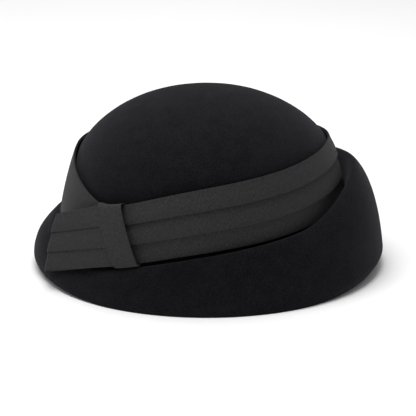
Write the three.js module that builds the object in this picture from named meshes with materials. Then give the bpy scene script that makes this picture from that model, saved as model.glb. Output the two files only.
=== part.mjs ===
// Felt hat with a rolled front brim and a three-ply ribbon band.
// Millimetres, +Z up, +X towards the front of the hat, wearer's right side at -Y, rim resting on z = 0.
import * as THREE from "three";

const TAU = Math.PI * 2;
const DEG = Math.PI / 180;

// The pattern below is drawn for a headband girth of 544 mm and graded up to a girth of 563 mm.
const GRADE = 563 / 544;

// Felt body. The crown is the cap of an ellipsoid, easing into a wall that flares under the band.
const FELT = 2.2;
const CROWN_CENTRE_X = -1.6;
const CROWN_HALF_LENGTH = 101.5;
const CROWN_HALF_WIDTH = 86.5;
const CROWN_CENTRE_Z = 66;
const CROWN_CAP_HEIGHT = 71.4;
const CROWN_FOOT = { front: 96.5, back: -103.5, width: 86.5 };
const CROWN_EDGE = { front: 61, side: 51.5, back: 55.5, drop: 0.54 };
const CAP_END_ABOVE_BAND = 1.5;
const CAP_SHARE = 0.67;
const WALL_EASE = 14;

// Rim lift at the front and back ends, as a height and the share of the length that stays flat.
const RIM_LIFT = 6.6;
const RIM_FLAT = 0.5;

// The trim dips towards the knot on the wearer's right, more sharply on the back side of it.
const KNOT_ANGLE = 224.9 * DEG;
const DIP_DEPTH = 27.4;
const DIP_REACH_FRONT = 30.7 * DEG;
const DIP_REACH_BACK = 36.2 * DEG;
const DIP_SHARPNESS = 1.55;
const SIDE_TILT = 3.5;

// Brim stations from the collar inside the crown, through the valley and the crest, to the rim.
// Each one is an oval: x at front and back, half width y, heights at front, side and back,
// extra height of the front roll, and the share of the trim's drop that it follows.
const BRIM_STATIONS = [
  { front: 92.1, back: -99.1, width: 82.3, z: [67, 58, 62], roll: 0, drop: 0.5 },
  { front: 92.6, back: -99.6, width: 82.7, z: [57.5, 48, 52], roll: 0, drop: 0.54 },
  { front: 104.4, back: -108, width: 92.6, z: [47.5, 34.2, 43.5], roll: 0, drop: 0.66 },
  { front: 104.8, back: -113.4, width: 98.6, z: [53.5, 40.6, 41.5], roll: 10.3, drop: 0.79 },
  { front: 109, back: -117.6, width: 99.8, z: [58, 39.8, 40], roll: 21.2, drop: 0.76 },
  { front: 116.6, back: -121.8, width: 100.6, z: [53.8, 33.6, 36], roll: 19, drop: 0.66 },
  { front: 123.4, back: -125.6, width: 101.8, z: [45.4, 25, 31], roll: 12.8, drop: 0.47 },
  { front: 128.7, back: -129.2, width: 104.6, z: [33, 14, 24.5], roll: 6.2, drop: 0.28 },
  { front: 132, back: -131.8, width: 107.6, z: [17.5, 7.2, 16], roll: 1.2, drop: 0.12 },
  { front: 132.2, back: -132.4, width: 109.6, z: [11.5, 3.4, 10], roll: 0, drop: 0.05 },
  { front: 128.6, back: -131.4, width: 110.9, z: [0, 0, 0], roll: 0, drop: 0 },
];

// The front roll is highest a little to the wearer's left, and fades out round both sides.
const ROLL_TURN = 27 * DEG;
const ROLL_FADE = { gone: 0.21, full: 0.995 };

// Ribbon band: a straight-sided cone between a top oval and a bottom oval.
const BAND_WIDTH = 46.5;
const BAND_KNOT_PINCH = 3;
const BAND_TOP = { z: [100, 89.3, 96.7], standOff: 2.4, endStandOff: -0.6 };
const BAND_BOTTOM = { front: 100.6, back: -110, width: 92.6 };
const BAND_BULGE = 1;
const BAND_KNOT_SWELL = 3;
const RIBBON = 0.6;
const GAP = 0.36;

// Plies: three pleats between shares of the band width, each lapped over the next one down.
const PLY_EDGES = [0, 0.312, 0.656, 1];
const PLY_OVERLAP = 0.045;
const PLY_UNDERLAP = 0.02;
const EDGE_OVERHANG = 0.01;
const PLY_RISE = 1;
const PLY_RISE_END = 0.6;
const PLY_START = { top: 231, bottom: 242 };
const PLY_END = { top: 488, bottom: 488 };
const PANEL_START = { top: 122, bottom: 122 };
const PANEL_END = { top: 228, bottom: 239 };
const PANEL_LAP = 2.6;
const PANEL_LAP_END = 0.1;

// Knot: a flat strip wrapped round the band, leaning forwards towards its lower end.
const KNOT_BACK_EDGE = { top: 224, bottom: 235.8 };
const KNOT_FRONT_EDGE = { top: 236, bottom: 245.6 };
const KNOT_OUT = 6.8;
const KNOT_IN = -1.2;
const KNOT_RIBBON = 0.8;
const KNOT_OVERHANG = 0.022;
const KNOT_SQUARENESS = 6;

// Wing: a flat folded loop of three plies between the knot's back edge and the fold line.
const WING_FOLD_TOP = new THREE.Vector3(-110.6, -41.8, 53.6);
const WING_FOLD_BOTTOM = new THREE.Vector3(-119.8, -54.8, 13.5);
const WING_LIFT = 4.6;
const WING_TUCK = 0.09;
const WING_TUCK_ANGLE = 3.4;
const WING_HALF_GAP_KNOT = 0.5;
const WING_HALF_GAP_FOLD = 1.6;
const WING_PLY_STEP = 0.9;
const WING_STEP_END = 0.7;
const WING_BACK_DROP = 0.9;
const WING_DROP_START = 0.4;
const WING_DROP_REACH = 0.2;
const WING_LEG_SHARE = 0.42;

// Inside fittings.
const HEADBAND = {
  centreX: -3.5,
  halfLength: 93.8,
  halfWidth: 80.5,
  height: 24,
  thickness: 0.7,
  lean: 4,
};
const HEADBAND_FOOT = { front: 59.5, side: 50, back: 54, drop: 0.54 };
const LABEL = { width: 30, height: 14, thickness: 0.5, rise: 7 };

const LOOKS = {
  crown: { color: 0x232227, roughness: 0.95 },
  brim: { color: 0x201f24, roughness: 0.95 },
  ribbon: { color: 0x33343a, roughness: 0.7 },
  inside: { color: 0x1d1d21, roughness: 0.8 },
  label: { color: 0x8b8880, roughness: 0.8 },
};

// Columns and rows of each sub-part's mesh.
const MESH = {
  crown: [56, 15],
  brim: [64, 25],
  foundation: [72, 3],
  ply: [60, 4],
  panel: [30, 3],
  knot: [40, 2],
  wing: [28, 4],
  headband: [56, 1],
  label: [10, 1],
};

// Small steps for slopes: along a surface, round the knot's section, and down the crown's cap.
const STEP = 1e-4;
const CAP_STEP = 0.01;

function wave(front, side, back, angle) {
  const mean = (front + back) / 4 + side / 2;
  const tilt = (front - back) / 2;
  const pinch = (front + back) / 4 - side / 2;
  return mean + tilt * Math.cos(angle) + pinch * Math.cos(2 * angle);
}

function dip(angle) {
  const turn = Math.atan2(Math.sin(angle - KNOT_ANGLE), Math.cos(angle - KNOT_ANGLE));
  const reach = turn > 0 ? DIP_REACH_FRONT : DIP_REACH_BACK;
  return DIP_DEPTH * Math.exp(-Math.pow(Math.abs(turn) / reach, DIP_SHARPNESS));
}

// How far the trim's edges lie below a level hat: tilted to the wearer's left, dipping at the knot.
function trimDrop(angle) {
  return dip(angle) + SIDE_TILT * Math.sin(angle);
}

function oval(front, back, halfWidth, z, angle) {
  const x = (front + back) / 2 + ((front - back) / 2) * Math.cos(angle);
  return new THREE.Vector3(x, halfWidth * Math.sin(angle), z);
}

function mix(a, b, t) {
  return a + (b - a) * t;
}

function smooth(t) {
  const s = Math.min(1, Math.max(0, t));
  return s * s * (3 - 2 * s);
}

function rimHeight(angle) {
  const end = Math.max(0, Math.abs(Math.cos(angle)) - RIM_FLAT) / (1 - RIM_FLAT);
  return RIM_LIFT * end * end;
}

function frontRoll(angle) {
  return smooth((Math.cos(angle - ROLL_TURN) - ROLL_FADE.gone) / (ROLL_FADE.full - ROLL_FADE.gone));
}

// Point at distance d from a surface, measured along its outward normal.
function offset(surface, u, v, d) {
  const du = surface(u + STEP, v).sub(surface(u - STEP, v));
  const dv = surface(u, v + STEP).sub(surface(u, v - STEP));
  const normal = dv.cross(du).normalize();
  return surface(u, v).addScaledVector(normal, d);
}

// Closed solid between an outer and an inner sheet of (u, v) points, u and v running from 0 to 1.
function shell(outer, inner, columns, rows, { ring = false, pole = false } = {}) {
  const positions = [];
  const indices = [];
  const across = ring ? columns : columns + 1;
  const at = (side, i, j) => {
    const start = side * (pole ? 1 + across * rows : across * (rows + 1));
    if (pole) return j === 0 ? start : start + 1 + (j - 1) * across + (i % across);
    return start + j * across + (ring ? i % across : i);
  };
  for (const sheet of [outer, inner]) {
    for (let j = 0; j <= rows; j += 1) {
      const count = pole && j === 0 ? 1 : across;
      for (let i = 0; i < count; i += 1) positions.push(...sheet(i / columns, j / rows).toArray());
    }
  }
  const quad = (a, b, c, d) => {
    if (a !== b) indices.push(a, b, c);
    if (c !== d) indices.push(a, c, d);
  };
  for (let i = 0; i < columns; i += 1) {
    for (let j = 0; j < rows; j += 1) {
      quad(at(0, i, j), at(0, i, j + 1), at(0, i + 1, j + 1), at(0, i + 1, j));
      quad(at(1, i + 1, j), at(1, i + 1, j + 1), at(1, i, j + 1), at(1, i, j));
    }
    quad(at(0, i, rows), at(1, i, rows), at(1, i + 1, rows), at(0, i + 1, rows));
    if (!pole) quad(at(0, i + 1, 0), at(1, i + 1, 0), at(1, i, 0), at(0, i, 0));
  }
  for (let j = 0; j < rows && !ring; j += 1) {
    quad(at(0, 0, j), at(1, 0, j), at(1, 0, j + 1), at(0, 0, j + 1));
    quad(at(0, columns, j + 1), at(1, columns, j + 1), at(1, columns, j), at(0, columns, j));
  }
  const geometry = new THREE.BufferGeometry();
  geometry.setAttribute("position", new THREE.Float32BufferAttribute(positions, 3));
  geometry.setIndex(indices);
  geometry.computeVertexNormals();
  return geometry;
}

function edgeHeight(edge, angle) {
  return wave(edge.front, edge.side, edge.back, angle) - edge.drop * trimDrop(angle);
}

// Cap of the crown: a point of the ellipsoid at a polar angle from the top.
function capPoint(inset, angle, polar) {
  const reach = Math.sin(polar);
  const halfLength = (CROWN_HALF_LENGTH - inset) * reach;
  const halfWidth = (CROWN_HALF_WIDTH - inset) * reach;
  const z = CROWN_CENTRE_Z + (CROWN_CAP_HEIGHT - inset) * Math.cos(polar);
  return oval(CROWN_CENTRE_X + halfLength, CROWN_CENTRE_X - halfLength, halfWidth, z, angle);
}

function crownPoint(inset, u, v) {
  const angle = u * TAU;
  const capHeight = bandTop(angle).z + CAP_END_ABOVE_BAND - CROWN_CENTRE_Z;
  const capEnd = Math.acos(capHeight / CROWN_CAP_HEIGHT);
  if (v <= CAP_SHARE) return capPoint(inset, angle, (v / CAP_SHARE) * capEnd);
  const t = (v - CAP_SHARE) / (1 - CAP_SHARE);
  const start = capPoint(inset, angle, capEnd);
  const { front, back, width } = CROWN_FOOT;
  const end = oval(front - inset, back + inset, width - inset, edgeHeight(CROWN_EDGE, angle), angle);
  const leave = start.clone().sub(capPoint(inset, angle, capEnd - CAP_STEP)).normalize();
  const length = start.distanceTo(end);
  const arrive = new THREE.Vector3(0, 0, -length);
  const h = [2 * t ** 3 - 3 * t * t + 1, t ** 3 - 2 * t * t + t, 3 * t * t - 2 * t ** 3, t ** 3 - t * t];
  const point = start.multiplyScalar(h[0]).addScaledVector(leave, h[1] * WALL_EASE);
  return point.addScaledVector(end, h[2]).addScaledVector(arrive, h[3]);
}

function makeCrown() {
  const outer = (u, v) => crownPoint(0, u, v);
  const inner = (u, v) => crownPoint(FELT, u, v);
  return shell(outer, inner, ...MESH.crown, { ring: true, pole: true });
}

function brimStation(index, angle) {
  const last = BRIM_STATIONS.length - 1;
  const s = BRIM_STATIONS[index];
  const body = wave(...s.z, angle) + s.roll * frontRoll(angle) - s.drop * trimDrop(angle);
  const z = index === last ? rimHeight(angle) : body;
  return oval(s.front, s.back, s.width, z, angle);
}

// Smooth curve through the brim stations at one angle round the hat.
function brimPoint(u, v) {
  const angle = u * TAU;
  const spans = BRIM_STATIONS.length - 1;
  const span = Math.min(spans - 1, Math.max(0, Math.floor(v * spans)));
  const t = v * spans - span;
  const p1 = brimStation(span, angle);
  const p2 = brimStation(span + 1, angle);
  const p0 = span > 0 ? brimStation(span - 1, angle) : p1.clone().multiplyScalar(2).sub(p2);
  const p3 = span + 2 <= spans ? brimStation(span + 2, angle) : p2.clone().multiplyScalar(2).sub(p1);
  const axis = (k) => {
    const [a, b, c, d] = [p0, p1, p2, p3].map((p) => p.getComponent(k));
    const square = 2 * a - 5 * b + 4 * c - d;
    const cube = 3 * b - a - 3 * c + d;
    return 0.5 * (2 * b + (c - a) * t + square * t * t + cube * t * t * t);
  };
  return new THREE.Vector3(axis(0), axis(1), axis(2));
}

function makeBrim() {
  const sheet = (side) => (u, v) => {
    const point = offset(brimPoint, u, v, (side * FELT) / 2);
    if (v === 1) point.z = rimHeight(u * TAU);
    return point;
  };
  return shell(sheet(1), sheet(-1), ...MESH.brim, { ring: true });
}

function bandTop(angle) {
  const height = wave(...BAND_TOP.z, angle) - trimDrop(angle);
  const rise = (height - CROWN_CENTRE_Z) / CROWN_CAP_HEIGHT;
  const shrink = Math.sqrt(1 - rise * rise);
  const standOff = BAND_TOP.standOff + BAND_TOP.endStandOff * Math.cos(angle) ** 2;
  const halfLength = CROWN_HALF_LENGTH * shrink + standOff;
  const halfWidth = CROWN_HALF_WIDTH * shrink + standOff;
  return oval(CROWN_CENTRE_X + halfLength, CROWN_CENTRE_X - halfLength, halfWidth, height, angle);
}

function bandBottom(angle) {
  const swell = (BAND_KNOT_SWELL * dip(angle)) / DIP_DEPTH;
  const { front, back, width } = BAND_BOTTOM;
  const foot = oval(front + swell, back - swell, width + swell, 0, angle);
  const top = bandTop(angle);
  const flare = Math.hypot(foot.x - top.x, foot.y - top.y);
  const across = BAND_WIDTH - BAND_KNOT_PINCH * (dip(angle) / DIP_DEPTH) ** 2;
  foot.z = top.z - Math.sqrt(across * across - flare * flare);
  return foot;
}

function bandPoint(angle, w) {
  const point = bandTop(angle).lerp(bandBottom(angle), w);
  const bulge = 4 * BAND_BULGE * w * (1 - w);
  point.x += bulge * Math.cos(angle);
  point.y += bulge * Math.sin(angle);
  return point;
}

// Ribbon strip lying on the band cone between two slanted ends, from width share w0 to w1.
function bandStrip(start, end, w0, w1, lift, mesh) {
  const angleAt = (u, w) => mix(mix(start.top, start.bottom, w), mix(end.top, end.bottom, w), u) * DEG;
  const surface = (u, v) => bandPoint(angleAt(u, mix(w0, w1, v)), mix(w0, w1, v));
  const sheet = (thickness) => (u, v) => offset(surface, u, v, lift(u, v) + thickness);
  return shell(sheet(RIBBON), sheet(0), ...mesh);
}

function makeBandFoundation() {
  const surface = (u, v) => bandPoint(u * TAU, v);
  const sheet = (thickness) => (u, v) => offset(surface, u, v, thickness);
  return shell(sheet(RIBBON), sheet(0), ...MESH.foundation, { ring: true });
}

// Each ply's lower edge rides over the top edge of the next one down.
function makeBandPly(index) {
  const lowest = index === 2;
  const w0 = PLY_EDGES[index] - (index === 0 ? EDGE_OVERHANG : PLY_OVERLAP);
  const w1 = PLY_EDGES[index + 1] + (lowest ? EDGE_OVERHANG : PLY_UNDERLAP);
  const lift = (u, v) => RIBBON + GAP + (lowest ? 0 : PLY_RISE * smooth(v / PLY_RISE_END));
  return bandStrip(PLY_START, PLY_END, w0, w1, lift, MESH.ply);
}

// Plain panel from the knot round the back, lapped over the far ends of the plies.
function makeBackPanel() {
  const lap = (u) => PANEL_LAP * (1 - smooth((u - PANEL_LAP_END) / PANEL_LAP_END));
  const lift = (u) => RIBBON + GAP + lap(u);
  return bandStrip(PANEL_START, PANEL_END, -EDGE_OVERHANG, 1 + EDGE_OVERHANG, lift, MESH.panel);
}

// Rounded rectangle round the band: share of the band width, and distance out from the band.
function knotPoint(along) {
  const a = along * TAU;
  const round = (t) => Math.sign(t) * Math.pow(Math.abs(t), 2 / KNOT_SQUARENESS);
  const w = 0.5 - (0.5 + KNOT_OVERHANG) * round(Math.cos(a));
  const middle = (KNOT_OUT + KNOT_IN) / 2;
  return [w, middle + ((KNOT_OUT - KNOT_IN) / 2) * round(Math.sin(a))];
}

function makeKnot() {
  const place = (across, along, extra) => {
    const [w, lift] = knotPoint(along);
    const [wAhead, liftAhead] = knotPoint(along + STEP);
    const run = (wAhead - w) * BAND_WIDTH;
    const rise = liftAhead - lift;
    const length = Math.hypot(run, rise);
    const wOut = w - (rise / length) * (extra / BAND_WIDTH);
    const liftOut = lift + (run / length) * extra;
    const back = mix(KNOT_BACK_EDGE.top, KNOT_BACK_EDGE.bottom, wOut);
    const front = mix(KNOT_FRONT_EDGE.top, KNOT_FRONT_EDGE.bottom, wOut);
    const angle = mix(back, front, across) * DEG;
    return offset((p, q) => bandPoint(p, q), angle, wOut, liftOut);
  };
  const outer = (u, v) => place(v, u, KNOT_RIBBON);
  const inner = (u, v) => place(v, u, 0);
  return shell(inner, outer, ...MESH.knot, { ring: true });
}

function wingRoot(w, extraAngle) {
  const angle = mix(KNOT_BACK_EDGE.top, KNOT_BACK_EDGE.bottom, w) + extraAngle;
  return offset(bandPoint, angle * DEG, w, WING_LIFT);
}

function wingPlane(s, w) {
  if (s < 0) return wingRoot(w, (-s / WING_TUCK) * WING_TUCK_ANGLE);
  const fold = WING_FOLD_TOP.clone().lerp(WING_FOLD_BOTTOM, w);
  return wingRoot(w, 0).lerp(fold, s);
}

// One ply of the loop: out along the front, round the fold and back again behind.
function makeWingPly(index) {
  const w0 = PLY_EDGES[index] - (index === 0 ? 0 : PLY_OVERLAP);
  const w1 = PLY_EDGES[index + 1] + (index === 2 ? 0 : PLY_UNDERLAP);
  const leg = WING_LEG_SHARE;
  const place = (path, v, extra) => {
    const w = mix(w0, w1, v);
    const step = index === 2 ? 0 : WING_PLY_STEP * smooth(v / WING_STEP_END);
    let s = 1;
    let side = 0;
    let past = 0;
    if (path < leg) {
      s = mix(-WING_TUCK, 1, path / leg);
      side = 1;
    } else if (path > 1 - leg) {
      s = mix(-WING_TUCK, 1, (1 - path) / leg);
      side = -1;
    } else {
      const a = ((path - leg) / (1 - 2 * leg)) * Math.PI;
      side = Math.cos(a);
      past = Math.sin(a);
    }
    const half = mix(WING_HALF_GAP_KNOT, WING_HALF_GAP_FOLD, Math.max(0, s)) + step + extra;
    const point = offset((p, q) => wingPlane(-p, q), -s, w, side * half);
    const out = wingPlane(1, w).sub(wingPlane(0.9, w)).normalize();
    point.addScaledVector(out, past * half);
    const behind = smooth((path - WING_DROP_START) / WING_DROP_REACH);
    point.z -= WING_BACK_DROP * behind * smooth(s) * smooth(w);
    return point;
  };
  const outer = (u, v) => place(u, v, RIBBON / 2);
  const inner = (u, v) => place(u, v, -RIBBON / 2);
  return shell(inner, outer, ...MESH.wing);
}

function headbandPoint(inset, u, rise) {
  const angle = u * TAU;
  const lean = inset + (HEADBAND.lean * rise) / HEADBAND.height;
  const front = HEADBAND.centreX + HEADBAND.halfLength - lean;
  const back = HEADBAND.centreX - HEADBAND.halfLength + lean;
  return oval(front, back, HEADBAND.halfWidth - lean, edgeHeight(HEADBAND_FOOT, angle) + rise, angle);
}

function makeHeadband() {
  const sheet = (inset) => (u, v) => headbandPoint(inset, u, HEADBAND.height * (1 - v));
  return shell(sheet(0), sheet(HEADBAND.thickness), ...MESH.headband, { ring: true });
}

function makeLabel() {
  const half = LABEL.width / 2 / HEADBAND.halfWidth / TAU;
  const sheet = (inset) => (u, v) => {
    const depth = HEADBAND.thickness + GAP + inset;
    return headbandPoint(depth, mix(0.5 - half, 0.5 + half, u), LABEL.rise + LABEL.height * (1 - v));
  };
  return shell(sheet(0), sheet(LABEL.thickness), ...MESH.label);
}

const group = new THREE.Group();
group.scale.setScalar(GRADE);

function add(name, geometry, look) {
  const material = new THREE.MeshStandardMaterial({ ...look, metalness: 0 });
  const mesh = new THREE.Mesh(geometry, material);
  mesh.name = name;
  group.add(mesh);
}

add("crown", makeCrown(), LOOKS.crown);
add("brim", makeBrim(), LOOKS.brim);
add("band_foundation", makeBandFoundation(), LOOKS.ribbon);
add("band_ply_upper", makeBandPly(0), LOOKS.ribbon);
add("band_ply_middle", makeBandPly(1), LOOKS.ribbon);
add("band_ply_lower", makeBandPly(2), LOOKS.ribbon);
add("band_back_panel", makeBackPanel(), LOOKS.ribbon);
add("knot", makeKnot(), LOOKS.ribbon);
add("wing_ply_upper", makeWingPly(0), LOOKS.ribbon);
add("wing_ply_middle", makeWingPly(1), LOOKS.ribbon);
add("wing_ply_lower", makeWingPly(2), LOOKS.ribbon);
add("inner_headband", makeHeadband(), LOOKS.inside);
add("size_label", makeLabel(), LOOKS.label);

export default group;
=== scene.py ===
import math

import bmesh
import bpy
import numpy as np
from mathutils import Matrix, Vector


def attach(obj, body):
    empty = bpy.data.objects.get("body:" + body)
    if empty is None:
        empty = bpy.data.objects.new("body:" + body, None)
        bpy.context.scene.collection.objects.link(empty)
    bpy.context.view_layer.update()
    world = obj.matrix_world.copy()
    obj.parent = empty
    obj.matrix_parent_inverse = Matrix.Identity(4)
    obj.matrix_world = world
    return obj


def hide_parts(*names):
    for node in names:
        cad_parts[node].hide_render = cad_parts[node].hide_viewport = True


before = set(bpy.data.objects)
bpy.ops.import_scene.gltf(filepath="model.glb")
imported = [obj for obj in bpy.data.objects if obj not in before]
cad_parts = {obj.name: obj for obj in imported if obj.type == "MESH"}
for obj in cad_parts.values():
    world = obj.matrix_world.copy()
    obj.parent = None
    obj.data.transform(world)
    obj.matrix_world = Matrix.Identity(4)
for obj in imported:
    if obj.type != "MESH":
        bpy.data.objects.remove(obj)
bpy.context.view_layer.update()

# Felt hat with a rolled front brim and a three-ply ribbon band.
# The pattern is in millimetres for a headband girth of 544 mm.
# GRADE takes it up to a girth of 563 mm, and UNIT also turns it into metres.
# +X is the front of the hat, -Y the wearer's right side, +Z up.
TAU = math.tau
DEG = math.pi / 180
GRADE = 563 / 544
UNIT = GRADE * 0.001

# Felt body.
FELT = 2.2
CROWN_CENTRE_X = -1.6
CROWN_HALF_LENGTH = 101.5
CROWN_HALF_WIDTH = 86.5
CROWN_CENTRE_Z = 66
CROWN_CAP_HEIGHT = 71.4
CROWN_FOOT = {"front": 96.5, "back": -103.5, "width": 86.5}
CROWN_EDGE = {"front": 61, "side": 51.5, "back": 55.5, "drop": 0.54}
CAP_END_ABOVE_BAND = 1.5
CAP_SHARE = 0.67
WALL_EASE = 14
RIM_LIFT = 6.6
RIM_FLAT = 0.5
FELT_RIPPLE = 0.16

# The trim dips towards the knot.
KNOT_ANGLE = 224.9 * DEG
DIP_DEPTH = 27.4
DIP_REACH_FRONT = 30.7 * DEG
DIP_REACH_BACK = 36.2 * DEG
DIP_SHARPNESS = 1.55
SIDE_TILT = 3.5

# Brim stations from the collar, through the valley and the crest, to the rim. Each one is an oval:
# front x, back x, half width, heights (front, side, back), roll height, share of the trim's drop.
BRIM_STATIONS = [
    (92.1, -99.1, 82.3, (67, 58, 62), 0, 0.5),
    (92.6, -99.6, 82.7, (57.5, 48, 52), 0, 0.54),
    (104.4, -108, 92.6, (47.5, 34.2, 43.5), 0, 0.66),
    (104.8, -113.4, 98.6, (53.5, 40.6, 41.5), 10.3, 0.79),
    (109, -117.6, 99.8, (58, 39.8, 40), 21.2, 0.76),
    (116.6, -121.8, 100.6, (53.8, 33.6, 36), 19, 0.66),
    (123.4, -125.6, 101.8, (45.4, 25, 31), 12.8, 0.47),
    (128.7, -129.2, 104.6, (33, 14, 24.5), 6.2, 0.28),
    (132, -131.8, 107.6, (17.5, 7.2, 16), 1.2, 0.12),
    (132.2, -132.4, 109.6, (11.5, 3.4, 10), 0, 0.05),
    (128.6, -131.4, 110.9, (0, 0, 0), 0, 0),
]
ROLL_TURN = 27 * DEG
ROLL_GONE = 0.21
ROLL_FULL = 0.995

# Ribbon band.
BAND_WIDTH = 46.5
BAND_KNOT_PINCH = 3
BAND_TOP_Z = (100, 89.3, 96.7)
BAND_STAND_OFF = 2.4
BAND_END_STAND_OFF = -0.6
BAND_BOTTOM = {"front": 100.6, "back": -110, "width": 92.6}
BAND_BULGE = 1
BAND_KNOT_SWELL = 3
RIBBON = 0.6
GAP = 0.36
PLY_EDGES = (0, 0.312, 0.656, 1)
PLY_OVERLAP = 0.045
PLY_UNDERLAP = 0.02
EDGE_OVERHANG = 0.01
PLY_RISE = 1
PLY_RISE_END = 0.6
PLY_FOLD = 0.8
PLY_FOLD_START = 0.3
PLY_FOLD_REACH = 0.6
PLY_START = (231, 242)
PLY_END = (488, 488)
PANEL_START = (122, 122)
PANEL_END = (228, 239)
PANEL_LAP = 2.6
PANEL_LAP_END = 0.1

# Knot and wing.
KNOT_BACK_EDGE = (224, 235.8)
KNOT_FRONT_EDGE = (236, 245.6)
KNOT_OUT = 6.8
KNOT_IN = -1.2
KNOT_RIBBON = 0.8
KNOT_OVERHANG = 0.022
KNOT_SQUARENESS = 6
WING_FOLD_TOP = np.array([-110.6, -41.8, 53.6])
WING_FOLD_BOTTOM = np.array([-119.8, -54.8, 13.5])
WING_LIFT = 4.6
WING_TUCK = 0.09
WING_TUCK_ANGLE = 3.4
WING_HALF_GAP_KNOT = 0.5
WING_HALF_GAP_FOLD = 1.6
WING_PLY_STEP = 0.9
WING_BACK_DROP = 0.9
WING_LEG_SHARE = 0.42
WING_STEP_END = 0.7
WING_DROP_START = 0.4
WING_DROP_REACH = 0.2

# Inside fittings.
HEADBAND = {
    "centre": -3.5,
    "length": 93.8,
    "width": 80.5,
    "height": 24,
    "thickness": 0.7,
    "lean": 4,
}
HEADBAND_FOOT = {"front": 59.5, "side": 50, "back": 54, "drop": 0.54}
LABEL = {"width": 30, "height": 14, "thickness": 0.5, "rise": 7}

# Columns and rows of each piece's mesh, and the angle above which an edge stays sharp.
MESH = {
    "crown": (288, 110),
    "brim": (320, 150),
    "foundation": (360, 24),
    "ply": (300, 24),
    "panel": (130, 28),
    "knot": (160, 20),
    "wing": (150, 20),
    "headband": (280, 14),
    "label": (40, 18),
}
CREASE = 50 * DEG
ROW_CROWDING = 1.35

# Small steps for slopes, along a surface and down the crown's cap.
STEP = 1e-4
CAP_STEP = 0.01

# Rounded cut edges: where the rounding starts across the piece, and the share of thickness left.
FELT_CROWN_EDGE = (0.985, 0.55)
FELT_RIM_EDGE = (0.988, 0.5)
PLY_FOLD_EDGE = (0.975, 0.45)
PLY_TOP_EDGE = (0.955, 0.45)
FOUNDATION_EDGE = (0.97, 0.45)
KNOT_EDGE = (0.94, 0.5)
WING_EDGE = (0.95, 0.45)
HEADBAND_EDGE = (0.95, 0.4)


def wave(front, side, back, angle):
    mean = (front + back) / 4 + side / 2
    tilt = (front - back) / 2
    pinch = (front + back) / 4 - side / 2
    return mean + tilt * np.cos(angle) + pinch * np.cos(2 * angle)


def dip(angle):
    turn = np.arctan2(np.sin(angle - KNOT_ANGLE), np.cos(angle - KNOT_ANGLE))
    reach = np.where(turn > 0, DIP_REACH_FRONT, DIP_REACH_BACK)
    return DIP_DEPTH * np.exp(-((np.abs(turn) / reach) ** DIP_SHARPNESS))


def trim_drop(angle):
    """How far the trim's edges lie below a level hat: tilted sideways, and dipping at the knot."""
    return dip(angle) + SIDE_TILT * np.sin(angle)


def oval(front, back, half_width, z, angle):
    x = (front + back) / 2 + (front - back) / 2 * np.cos(angle)
    y = half_width * np.sin(angle)
    return np.stack(np.broadcast_arrays(x, y, z), axis=-1).astype(float)


def mix(a, b, t):
    return a + (b - a) * t


def smooth(t):
    s = np.clip(t, 0, 1)
    return s * s * (3 - 2 * s)


def unit(v):
    return v / np.maximum(np.linalg.norm(v, axis=-1, keepdims=True), 1e-12)


def offset(surface, u, v, distance):
    """Points at a distance from a surface, along its outward normal."""
    du = surface(u + STEP, v) - surface(u - STEP, v)
    dv = surface(u, v + STEP) - surface(u, v - STEP)
    normal = unit(np.cross(dv, du))
    return surface(u, v) + normal * np.asarray(distance)[..., None]


def ripple(points):
    """Slow unevenness of hand-blocked felt, from -1 to 1."""
    x, y, z = points[..., 0], points[..., 1], points[..., 2]
    slow = np.sin(0.071 * x + 0.043 * y + 0.9) * np.sin(0.055 * y - 0.083 * z + 2.1)
    fine = np.sin(0.19 * x - 0.11 * z + 0.4) * np.sin(0.17 * y + 0.13 * x + 1.3)
    return 0.7 * slow + 0.3 * fine


# --- Felt body -------------------------------------------------------------------------------

def edge_height(edge, angle):
    return wave(edge["front"], edge["side"], edge["back"], angle) - edge["drop"] * trim_drop(angle)


def cap_point(inset, angle, polar):
    reach = np.sin(polar)
    half_length = (CROWN_HALF_LENGTH - inset) * reach
    half_width = (CROWN_HALF_WIDTH - inset) * reach
    z = CROWN_CENTRE_Z + (CROWN_CAP_HEIGHT - inset) * np.cos(polar)
    return oval(CROWN_CENTRE_X + half_length, CROWN_CENTRE_X - half_length, half_width, z, angle)


def crown_point(inset, u, v):
    angle = u * TAU
    cap_height = band_top(angle)[..., 2] + CAP_END_ABOVE_BAND - CROWN_CENTRE_Z
    cap_end = np.arccos(cap_height / CROWN_CAP_HEIGHT)
    cap = cap_point(inset, angle, np.minimum(v / CAP_SHARE, 1) * cap_end)
    t = np.clip((v - CAP_SHARE) / (1 - CAP_SHARE), 0, 1)[..., None]
    start = cap_point(inset, angle, cap_end)
    foot = CROWN_FOOT
    height = edge_height(CROWN_EDGE, angle)
    end = oval(foot["front"] - inset, foot["back"] + inset, foot["width"] - inset, height, angle)
    leave = unit(start - cap_point(inset, angle, cap_end - CAP_STEP))
    arrive = np.linalg.norm(end - start, axis=-1, keepdims=True) * np.array([0, 0, -1.0])
    wall = start * (2 * t**3 - 3 * t**2 + 1) + leave * WALL_EASE * (t**3 - 2 * t**2 + t)
    wall = wall + end * (3 * t**2 - 2 * t**3) + arrive * (t**3 - t**2)
    point = np.where((v <= CAP_SHARE)[..., None], cap, wall)
    away = unit(point - np.array([CROWN_CENTRE_X, 0, CROWN_CENTRE_Z]))
    return point + away * (FELT_RIPPLE * ripple(point))[..., None]


def rim_height(angle):
    end = np.maximum(0, np.abs(np.cos(angle)) - RIM_FLAT) / (1 - RIM_FLAT)
    return RIM_LIFT * end**2


def brim_station(index, angle):
    front, back, width, heights, roll, share = BRIM_STATIONS[index]
    lift = smooth((np.cos(angle - ROLL_TURN) - ROLL_GONE) / (ROLL_FULL - ROLL_GONE))
    z = wave(*heights, angle) + roll * lift - share * trim_drop(angle)
    if index == len(BRIM_STATIONS) - 1:
        z = rim_height(angle)
    return oval(front, back, width, z, angle)


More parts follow.
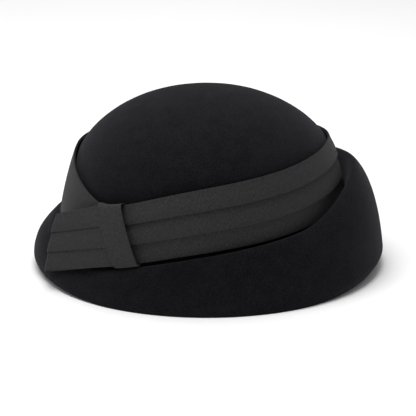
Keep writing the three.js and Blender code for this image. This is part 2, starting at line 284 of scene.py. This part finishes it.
def brim_point(u, v):
    """Smooth curve through the brim stations at each angle round the hat."""
    angle = u * TAU
    spans = len(BRIM_STATIONS) - 1
    line = np.stack([brim_station(k, angle) for k in range(spans + 1)])
    first = 2 * line[:1] - line[1:2]
    last = 2 * line[-1:] - line[-2:-1]
    line = np.concatenate([first, line, last])
    span = np.clip(np.floor(v * spans).astype(int), 0, spans - 1)
    t = (v * spans - span)[..., None]
    a, b, c, d = (np.take_along_axis(line, (span + k)[None, ..., None], axis=0)[0] for k in range(4))
    square = 2 * a - 5 * b + 4 * c - d
    cube = 3 * b - a - 3 * c + d
    return 0.5 * (2 * b + (c - a) * t + square * t**2 + cube * t**3)


# --- Ribbon band -----------------------------------------------------------------------------

def band_top(angle):
    height = wave(*BAND_TOP_Z, angle) - trim_drop(angle)
    rise = (height - CROWN_CENTRE_Z) / CROWN_CAP_HEIGHT
    shrink = np.sqrt(1 - rise**2)
    stand_off = BAND_STAND_OFF + BAND_END_STAND_OFF * np.cos(angle) ** 2
    half_length = CROWN_HALF_LENGTH * shrink + stand_off
    half_width = CROWN_HALF_WIDTH * shrink + stand_off
    return oval(CROWN_CENTRE_X + half_length, CROWN_CENTRE_X - half_length, half_width, height, angle)


def band_bottom(angle):
    swell = BAND_KNOT_SWELL * dip(angle) / DIP_DEPTH
    edge = BAND_BOTTOM
    foot = oval(edge["front"] + swell, edge["back"] - swell, edge["width"] + swell, 0, angle)
    top = band_top(angle)
    flare = np.hypot(foot[..., 0] - top[..., 0], foot[..., 1] - top[..., 1])
    across = BAND_WIDTH - BAND_KNOT_PINCH * (dip(angle) / DIP_DEPTH) ** 2
    foot[..., 2] = top[..., 2] - np.sqrt(across**2 - flare**2)
    return foot


def band_point(angle, w):
    top = band_top(angle)
    point = top + (band_bottom(angle) - top) * np.asarray(w)[..., None]
    bulge = 4 * BAND_BULGE * w * (1 - w)
    point[..., 0] += bulge * np.cos(angle)
    point[..., 1] += bulge * np.sin(angle)
    return point


# --- Meshes ----------------------------------------------------------------------------------

def grid(columns, rows, ring=False, ease=None):
    """Arrays of u and v over a sheet; ease may crowd the rows."""
    u = np.linspace(0, 1, columns + 1)
    v = np.linspace(0, 1, rows + 1)
    if ease is not None:
        v = ease(v)
    return np.meshgrid(u[:-1] if ring else u, v, indexing="ij")


def lay_lengths(points):
    """Distance along and across a sheet, in metres, at each of its points."""
    middle = points.shape[1] // 2
    along = np.linalg.norm(np.diff(points[:, middle], axis=0, append=points[:1, middle]), axis=1)
    across = np.linalg.norm(np.diff(points[points.shape[0] // 2], axis=0), axis=1)
    return np.concatenate([[0], np.cumsum(along)]), np.concatenate([[0], np.cumsum(across)])


def closed_solid(name, outer, inner, ring=False, pole=False):
    """One closed mesh between an outer and an inner sheet of points, in metres, with a lay UV map."""
    outer, inner = np.asarray(outer) * UNIT, np.asarray(inner) * UNIT
    columns, rows = outer.shape[:2]
    along, across = lay_lengths(outer)

    def corner(side, i, j):
        if pole and j == 0:
            i = 0
        return side * columns * rows + (i % columns) * rows + j

    faces, lays = [], []

    def add(*corners):
        kept = []
        for side, i, j in corners:
            vertex = corner(side, i, j)
            if vertex not in [k[0] for k in kept]:
                kept.append((vertex, (along[i], across[j] + side * across[-1])))
        faces.append([k[0] for k in kept])
        lays.extend(k[1] for k in kept)

    for i in range(columns if ring else columns - 1):
        for j in range(rows - 1):
            add((0, i, j), (0, i, j + 1), (0, i + 1, j + 1), (0, i + 1, j))
            add((1, i + 1, j), (1, i + 1, j + 1), (1, i, j + 1), (1, i, j))
        end = rows - 1
        add((0, i, end), (1, i, end), (1, i + 1, end), (0, i + 1, end))
        if not pole:
            add((0, i + 1, 0), (1, i + 1, 0), (1, i, 0), (0, i, 0))
    for j in range(0 if ring else rows - 1):
        end = columns - 1
        add((0, 0, j), (1, 0, j), (1, 0, j + 1), (0, 0, j + 1))
        add((0, end, j + 1), (1, end, j + 1), (1, end, j), (0, end, j))

    mesh = bpy.data.meshes.new(name)
    mesh.from_pydata(np.concatenate([outer, inner]).reshape(-1, 3).tolist(), [], faces)
    uv = mesh.uv_layers.new(name="lay")
    uv.data.foreach_set("uv", np.array(lays, dtype=np.float32).ravel())
    clean = bmesh.new()
    clean.from_mesh(mesh)
    bmesh.ops.delete(clean, geom=[v for v in clean.verts if not v.link_faces], context="VERTS")
    bmesh.ops.recalc_face_normals(clean, faces=clean.faces)
    clean.to_mesh(mesh)
    clean.free()
    mesh.shade_smooth()
    mesh.set_sharp_from_angle(angle=CREASE)
    piece = bpy.data.objects.new(name, mesh)
    bpy.context.scene.collection.objects.link(piece)
    return piece


def round_share(v, start, left):
    """Share of the thickness kept towards v = 1: full before start, rounded down to what is left."""
    t = np.clip((v - start) / (1 - start), 0, 1)
    return np.sqrt(1 - (1 - left**2) * t**2)


def finish_piece(piece, slot, material, *nodes):
    piece.data.materials.append(material)
    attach(piece, "root")
    if nodes:
        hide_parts(*nodes)
    return piece


def crowd_to_end(v):
    """Rows crowded towards v = 1, where a cut edge is rounded."""
    return 1 - (1 - v) ** ROW_CROWDING


def make_crown(material):
    u, v = grid(*MESH["crown"], ring=True, ease=crowd_to_end)
    outer = crown_point(0.0, u, v)
    inner = crown_point(FELT, u, v)
    middle = (outer + inner) / 2
    share = round_share(v, *FELT_CROWN_EDGE)[..., None]
    outer, inner = middle + (outer - middle) * share, middle + (inner - middle) * share
    piece = closed_solid("felt_crown", outer, inner, ring=True, pole=True)
    return finish_piece(piece, "felt", material, "crown")


def make_brim(material):
    u, v = grid(*MESH["brim"], ring=True, ease=crowd_to_end)
    wobble = FELT_RIPPLE * ripple(brim_point(u, v)) * smooth((1 - v) / 0.1)
    half = FELT / 2 * round_share(v, *FELT_RIM_EDGE)
    floor = rim_height(u * TAU)
    sheets = []
    for side in (1, -1):
        points = offset(brim_point, u, v, side * half + wobble)
        points[..., 2] = np.maximum(points[..., 2], floor)
        sheets.append(points)
    piece = closed_solid("felt_brim", *sheets, ring=True)
    return finish_piece(piece, "felt", material, "brim")


def flutter(angle, w):
    """Slight unevenness of the hand-draped band, in millimetres, the same for every layer."""
    wide = 0.30 * np.sin(5 * angle + 0.6) * np.sin(2 * angle + 1.9)
    short = 0.10 * np.sin(13 * angle + 2.2 * w + 0.5)
    return wide * (0.4 + 0.6 * w) + short


def band_strip(name, ends, shares, lift, mesh, fold, material, node):
    """Ribbon on the band cone between two slanted ends and two width shares, thicker at its fold."""
    (start, end), (w0, w1) = ends, shares
    u, v = grid(*mesh, ease=crowd_to_end)
    w = mix(w0, w1, v)
    angle = mix(mix(start[0], start[1], w), mix(end[0], end[1], w), u) * DEG
    thickness = RIBBON + fold * smooth((v - PLY_FOLD_START) / PLY_FOLD_REACH)
    middle = lift(u, v) + thickness / 2 + flutter(angle, w)
    half = thickness / 2 * round_share(v, *PLY_FOLD_EDGE) * round_share(1 - v, *PLY_TOP_EDGE)
    outer = offset(band_point, angle, w, middle + half)
    inner = offset(band_point, angle, w, middle - half)
    return finish_piece(closed_solid(name, outer, inner), "ribbon", material, node)


def make_foundation(material):
    u, v = grid(*MESH["foundation"], ring=True)
    angle = u * TAU
    middle = RIBBON / 2 + flutter(angle, v)
    half = RIBBON / 2 * round_share(v, *FOUNDATION_EDGE) * round_share(1 - v, *FOUNDATION_EDGE)
    outer = offset(band_point, angle, v, middle + half)
    inner = offset(band_point, angle, v, middle - half)
    piece = closed_solid("ribbon_foundation", outer, inner, ring=True)
    return finish_piece(piece, "ribbon", material, "band_foundation")


def make_ply(index, material):
    """One pleat of the band; its lower edge rides over the top edge of the next one down."""
    name = ("upper", "middle", "lower")[index]
    lowest = index == 2
    w0 = PLY_EDGES[index] - (EDGE_OVERHANG if index == 0 else PLY_OVERLAP)
    w1 = PLY_EDGES[index + 1] + (EDGE_OVERHANG if lowest else PLY_UNDERLAP)
    rise = 0.0 if lowest else PLY_RISE

    def lift(u, v):
        return RIBBON + GAP + rise * smooth(v / PLY_RISE_END)

    fold = 0.0 if lowest else PLY_FOLD
    piece = band_strip(f"ribbon_ply_{name}", (PLY_START, PLY_END), (w0, w1), lift, MESH["ply"], fold,
                       material, f"band_ply_{name}")


def make_back_panel(material):
    def lift(u, v):
        return RIBBON + GAP + PANEL_LAP * (1 - smooth((u - PANEL_LAP_END) / PANEL_LAP_END))

    shares = (-EDGE_OVERHANG, 1 + EDGE_OVERHANG)
    piece = band_strip("ribbon_back_panel", (PANEL_START, PANEL_END), shares, lift, MESH["panel"], 0.0,
                       material, "band_back_panel")


def knot_section(along):
    """Rounded rectangle round the band: share of the band width, and distance out from the band."""
    a = along * TAU
    cosine = np.sign(np.cos(a)) * np.abs(np.cos(a)) ** (2 / KNOT_SQUARENESS)
    sine = np.sign(np.sin(a)) * np.abs(np.sin(a)) ** (2 / KNOT_SQUARENESS)
    middle = (KNOT_OUT + KNOT_IN) / 2
    return 0.5 - (0.5 + KNOT_OVERHANG) * cosine, middle + (KNOT_OUT - KNOT_IN) / 2 * sine


def make_knot(material):
    u, v = grid(*MESH["knot"], ring=True)
    w, lift = knot_section(u)
    w_ahead, lift_ahead = knot_section(u + STEP)
    run, rise = (w_ahead - w) * BAND_WIDTH, lift_ahead - lift
    length = np.hypot(run, rise)

    def place(extra):
        w_out = w - rise / length * extra / BAND_WIDTH
        lift_out = lift + run / length * extra
        back = mix(KNOT_BACK_EDGE[0], KNOT_BACK_EDGE[1], w_out)
        front = mix(KNOT_FRONT_EDGE[0], KNOT_FRONT_EDGE[1], w_out)
        return offset(band_point, mix(back, front, v) * DEG, w_out, lift_out)

    share = round_share(v, *KNOT_EDGE) * round_share(1 - v, *KNOT_EDGE)
    half = KNOT_RIBBON / 2
    outer = place(half + half * share)
    inner = place(half - half * share)
    piece = closed_solid("ribbon_knot", outer, inner, ring=True)
    return finish_piece(piece, "ribbon", material, "knot")


def wing_root(w, extra_angle):
    angle = mix(KNOT_BACK_EDGE[0], KNOT_BACK_EDGE[1], w) + extra_angle
    return offset(band_point, angle * DEG, w, np.full_like(w, WING_LIFT))


def wing_plane(s, w):
    fold = WING_FOLD_TOP + (WING_FOLD_BOTTOM - WING_FOLD_TOP) * w[..., None]
    root = wing_root(w, np.zeros_like(w))
    out = root + (fold - root) * s[..., None]
    tucked = wing_root(w, -s / WING_TUCK * WING_TUCK_ANGLE)
    return np.where((s < 0)[..., None], tucked, out)


def make_wing_ply(index, material):
    """One ply of the loop: out along the front, round the fold and back again behind."""
    name = ("upper", "middle", "lower")[index]
    w0 = PLY_EDGES[index] - (0 if index == 0 else PLY_OVERLAP)
    w1 = PLY_EDGES[index + 1] + (0 if index == 2 else PLY_UNDERLAP)
    u, v = grid(*MESH["wing"])
    w = mix(w0, w1, v)
    step = 0 * v if index == 2 else WING_PLY_STEP * smooth(v / WING_STEP_END)
    leg = WING_LEG_SHARE
    a = np.clip((u - leg) / (1 - 2 * leg), 0, 1) * math.pi
    s = mix(-WING_TUCK, 1, np.clip(np.minimum(u, 1 - u) / leg, 0, 1))
    side, past = np.cos(a), np.sin(a)
    share = round_share(v, *WING_EDGE) * round_share(1 - v, *WING_EDGE)
    outward = unit(wing_plane(np.ones_like(w), w) - wing_plane(np.full_like(w, 0.9), w))
    drop = WING_BACK_DROP * smooth((u - WING_DROP_START) / WING_DROP_REACH) * smooth(s) * smooth(w)

    def place(extra):
        half = mix(WING_HALF_GAP_KNOT, WING_HALF_GAP_FOLD, np.maximum(0, s)) + step + extra
        point = offset(lambda p, q: wing_plane(-p, q), -s, w, side * half)
        point = point + outward * (past * half)[..., None]
        point[..., 2] -= drop
        return point

    half = RIBBON / 2 * share
    piece = closed_solid(f"ribbon_wing_{name}", place(half), place(-half))
    return finish_piece(piece, "ribbon", material, f"wing_ply_{name}")


def headband_point(inset, u, rise):
    angle = u * TAU
    lean = inset + HEADBAND["lean"] * rise / HEADBAND["height"]
    front = HEADBAND["centre"] + HEADBAND["length"] - lean
    back = HEADBAND["centre"] - HEADBAND["length"] + lean
    height = edge_height(HEADBAND_FOOT, angle) + rise
    return oval(front, back, HEADBAND["width"] - lean, height, angle)


def make_headband(material):
    u, v = grid(*MESH["headband"], ring=True)
    rise = HEADBAND["height"] * (1 - v)
    middle = HEADBAND["thickness"] / 2
    half = middle * round_share(v, *HEADBAND_EDGE) * round_share(1 - v, *HEADBAND_EDGE)
    outer = headband_point(middle - half, u, rise)
    inner = headband_point(middle + half, u, rise)
    piece = closed_solid("headband_ribbon", outer, inner, ring=True)
    return finish_piece(piece, "headband", material, "inner_headband")


def make_label(material):
    u, v = grid(*MESH["label"])
    half_turn = LABEL["width"] / 2 / HEADBAND["width"] / TAU
    rise = LABEL["rise"] + LABEL["height"] * (1 - v)
    around = mix(0.5 - half_turn, 0.5 + half_turn, u)
    depth = HEADBAND["thickness"] + GAP
    outer = headband_point(depth, around, rise)
    inner = headband_point(depth + LABEL["thickness"], around, rise)
    piece = closed_solid("blank_label", outer, inner)
    return finish_piece(piece, "label", material, "size_label")


# --- Materials -------------------------------------------------------------------------------

# Dark and light tone of each cloth, as linear colours.
FELT_TONES = ((0.0005, 0.0005, 0.0008), (0.0068, 0.0062, 0.0090))
RIBBON_TONES = ((0.0075, 0.0074, 0.0082), (0.0350, 0.0346, 0.0370))
PETERSHAM_TONES = ((0.009, 0.009, 0.010), (0.019, 0.019, 0.021))
TAPE_TONES = ((0.20, 0.19, 0.17), (0.31, 0.30, 0.27))
FLOOR_TONES = ((0.9, 0.9, 0.9), (0.93, 0.93, 0.93))
FELT_SHEEN_TINT = (0.86, 0.82, 1, 1)

# Rib spacing of each ribbon, in metres, and how many noise cells there are to a metre.
RIBBON_PITCH = 0.0009
PETERSHAM_PITCH = 0.0008
TAPE_PITCH = 0.0004
MOTTLE_SCALE = 90
NAP_SCALE = 850
FIBRE_SCALE = 1500
SLUB_SCALE = 900
STREAK_ACROSS = 160.0

class Nodes:
    """Short way to build a material's node tree."""

    def __init__(self, name):
        self.material = bpy.data.materials.new(name)
        self.material.use_nodes = True
        self.tree = self.material.node_tree
        self.shader = self.tree.nodes["Principled BSDF"]

    def add(self, kind, **settings):
        node = self.tree.nodes.new(kind)
        for key, value in settings.items():
            if key in node.inputs:
                node.inputs[key].default_value = value
            else:
                setattr(node, key, value)
        return node

    def link(self, source, target):
        self.tree.links.new(source, target)

    def math(self, operation, a, b=None):
        node = self.add("ShaderNodeMath", operation=operation)
        for socket, value in zip(node.inputs, (a, b)):
            if value is None:
                continue
            if isinstance(value, (int, float)):
                socket.default_value = value
            else:
                self.link(value, socket)
        return node.outputs[0]

    def noise(self, vector, scale, detail=3.0, roughness=0.55):
        node = self.add("ShaderNodeTexNoise", Scale=scale, Detail=detail, Roughness=roughness)
        self.link(vector, node.inputs["Vector"])
        return node.outputs["Fac"]

    def ramp(self, value, stops):
        node = self.add("ShaderNodeValToRGB")
        elements = node.color_ramp.elements
        for k, (place, colour) in enumerate(stops):
            element = elements[k] if k < 2 else elements.new(place)
            element.position = place
            element.color = (*colour, 1)
        self.link(value, node.inputs["Fac"])
        return node.outputs["Color"]

    def bump(self, height, distance, strength=1.0, normal=None):
        node = self.add("ShaderNodeBump", Strength=strength, Distance=distance)
        self.link(height, node.inputs["Height"])
        if normal is not None:
            self.link(normal, node.inputs["Normal"])
        return node.outputs["Normal"]


def felt_material(name, tones):
    """Matt wool felt: matted fibres, faint mottling, a soft nap that catches light at grazing angles."""
    dark, light = tones
    n = Nodes(name)
    where = n.add("ShaderNodeTexCoord").outputs["Object"]
    mottle = n.noise(where, MOTTLE_SCALE, detail=4)
    nap = n.noise(where, NAP_SCALE, detail=5, roughness=0.75)
    fibre = n.noise(where, FIBRE_SCALE, detail=3, roughness=0.7)
    tone = n.math("ADD", n.math("MULTIPLY", mottle, 0.15), n.math("MULTIPLY", nap, 0.65))
    tone = n.math("ADD", tone, n.math("MULTIPLY", fibre, 0.2))
    n.link(n.ramp(tone, [(0.45, dark), (0.56, light)]), n.shader.inputs["Base Color"])
    rough = n.add("ShaderNodeMapRange", **{"To Min": 0.86, "To Max": 1.0})
    n.link(nap, rough.inputs["Value"])
    n.link(rough.outputs["Result"], n.shader.inputs["Roughness"])
    coarse = n.bump(nap, 0.0006, 0.5)
    n.link(n.bump(fibre, 0.0003, 0.6, coarse), n.shader.inputs["Normal"])
    n.shader.inputs["Specular IOR Level"].default_value = 0.15
    n.shader.inputs["Sheen Weight"].default_value = 0.045
    n.shader.inputs["Sheen Roughness"].default_value = 0.5
    n.shader.inputs["Sheen Tint"].default_value = FELT_SHEEN_TINT
    return n.material


def ribbon_material(name, tones, pitch, sheen=0.02):
    """Grosgrain: fine ribs across the ribbon's length, with thread-to-thread changes of tone."""
    dark, light = tones
    n = Nodes(name)
    coordinates = n.add("ShaderNodeTexCoord")
    lay = coordinates.outputs["UV"]
    split = n.add("ShaderNodeSeparateXYZ")
    n.link(lay, split.inputs[0])
    along, across = split.outputs[0], split.outputs[1]
    phase = n.math("MULTIPLY", along, TAU / pitch)
    rib = n.math("MULTIPLY_ADD", n.math("SINE", phase), 0.5)
    rib.node.inputs[2].default_value = 0.5
    weft = n.math("MULTIPLY", across, TAU / (pitch * 0.5))
    thread = n.math("MULTIPLY_ADD", n.math("SINE", weft), 0.5)
    thread.node.inputs[2].default_value = 0.5
    stretch = n.add("ShaderNodeCombineXYZ")
    n.link(n.math("MULTIPLY", along, 0.5 / pitch), stretch.inputs[0])
    n.link(n.math("MULTIPLY", across, STREAK_ACROSS), stretch.inputs[1])
    streak = n.noise(stretch.outputs[0], 2.2, detail=3)
    cloud = n.noise(coordinates.outputs["Object"], SLUB_SCALE, detail=4, roughness=0.7)
    tone = n.math("ADD", n.math("MULTIPLY", streak, 0.5), n.math("MULTIPLY", cloud, 0.35))
    tone = n.math("ADD", tone, n.math("MULTIPLY", rib, 0.15))
    n.link(n.ramp(tone, [(0.38, dark), (0.62, light)]), n.shader.inputs["Base Color"])
    rough = n.add("ShaderNodeMapRange", **{"To Min": 0.62, "To Max": 0.82})
    n.link(streak, rough.inputs["Value"])
    n.link(rough.outputs["Result"], n.shader.inputs["Roughness"])
    weave = n.math("ADD", rib, n.math("MULTIPLY", thread, 0.25))
    n.link(n.bump(weave, pitch * 0.3, 0.6), n.shader.inputs["Normal"])
    n.shader.inputs["Specular IOR Level"].default_value = 0.3
    n.shader.inputs["Sheen Weight"].default_value = sheen
    n.shader.inputs["Sheen Roughness"].default_value = 0.4
    return n.material


def floor_material():
    """Pale matt floor with a faint cloudiness."""
    n = Nodes("pale_floor")
    where = n.add("ShaderNodeTexCoord").outputs["Object"]
    dark, light = FLOOR_TONES
    n.link(n.ramp(n.noise(where, 3), [(0.3, dark), (0.7, light)]), n.shader.inputs["Base Color"])
    n.shader.inputs["Roughness"].default_value = 0.9
    n.shader.inputs["Specular IOR Level"].default_value = 0.1
    return n.material


# --- Studio ----------------------------------------------------------------------------------

CAMERA_ELEVATION = 22 * DEG
CAMERA_DISTANCE = 1.5 * GRADE
CAMERA_LENS = 168.6
CAMERA_SHIFT = (-0.0005, 0.1244)
CAMERA_SENSOR = 36
WORLD_STRENGTH = 0.35
FLOOR_HALF = 6

# Each area light: place, target, size and power.
OVERHEAD = ((-0.16, 0.1, 1.45), (0, 0, 0.05), (1.5, 1.1), 25)
LEFT_FILL = ((-1.5, -0.6, 0.9), (0, 0, 0.06), (0.8, 0.8), 1.5)


def make_camera():
    data = bpy.data.cameras.new("camera")
    data.lens = CAMERA_LENS
    data.sensor_width = CAMERA_SENSOR
    data.shift_x, data.shift_y = CAMERA_SHIFT
    data.clip_start, data.clip_end = 0.05, 60
    camera = bpy.data.objects.new("camera", data)
    camera.location = (0, -CAMERA_DISTANCE * math.cos(CAMERA_ELEVATION),
                       CAMERA_DISTANCE * math.sin(CAMERA_ELEVATION))
    camera.rotation_euler = (math.pi / 2 - CAMERA_ELEVATION, 0, 0)
    bpy.context.scene.collection.objects.link(camera)
    bpy.context.scene.camera = camera


def area_light(name, place, target, size, power):
    data = bpy.data.lights.new(name, "AREA")
    data.shape = "RECTANGLE"
    data.size, data.size_y = size
    data.energy = power
    light = bpy.data.objects.new(name, data)
    light.location = place
    light.rotation_mode = "QUATERNION"
    light.rotation_quaternion = (Vector(target) - Vector(place)).to_track_quat("-Z", "Y")
    bpy.context.scene.collection.objects.link(light)


def make_studio():
    world = bpy.data.worlds.new("studio")
    world.use_nodes = True
    background = world.node_tree.nodes["Background"]
    background.inputs["Color"].default_value = (1, 1, 1, 1)
    background.inputs["Strength"].default_value = WORLD_STRENGTH
    bpy.context.scene.world = world
    area_light("overhead", *OVERHEAD)
    area_light("left_fill", *LEFT_FILL)
    half = FLOOR_HALF
    corners = [(-half, -half, 0), (half, -half, 0), (half, half, 0), (-half, half, 0)]
    mesh = bpy.data.meshes.new("floor")
    mesh.from_pydata(corners, [], [(0, 1, 2, 3)])
    floor = bpy.data.objects.new("floor", mesh)
    floor.data.materials.append(floor_material())
    bpy.context.scene.collection.objects.link(floor)


def main():
    bpy.context.scene.view_settings.view_transform = "Standard"
    make_camera()
    felt = felt_material("wool_felt", FELT_TONES)
    ribbon = ribbon_material("grosgrain_ribbon", RIBBON_TONES, RIBBON_PITCH)
    petersham = ribbon_material("petersham_headband", PETERSHAM_TONES, PETERSHAM_PITCH)
    tape = ribbon_material("woven_tape", TAPE_TONES, TAPE_PITCH)
    make_crown(felt)
    make_brim(felt)
    make_foundation(ribbon)
    for index in range(3):
        make_ply(index, ribbon)
    make_back_panel(ribbon)
    make_knot(ribbon)
    for index in range(3):
        make_wing_ply(index, ribbon)
    make_headband(petersham)
    make_label(tape)
    make_studio()


main()
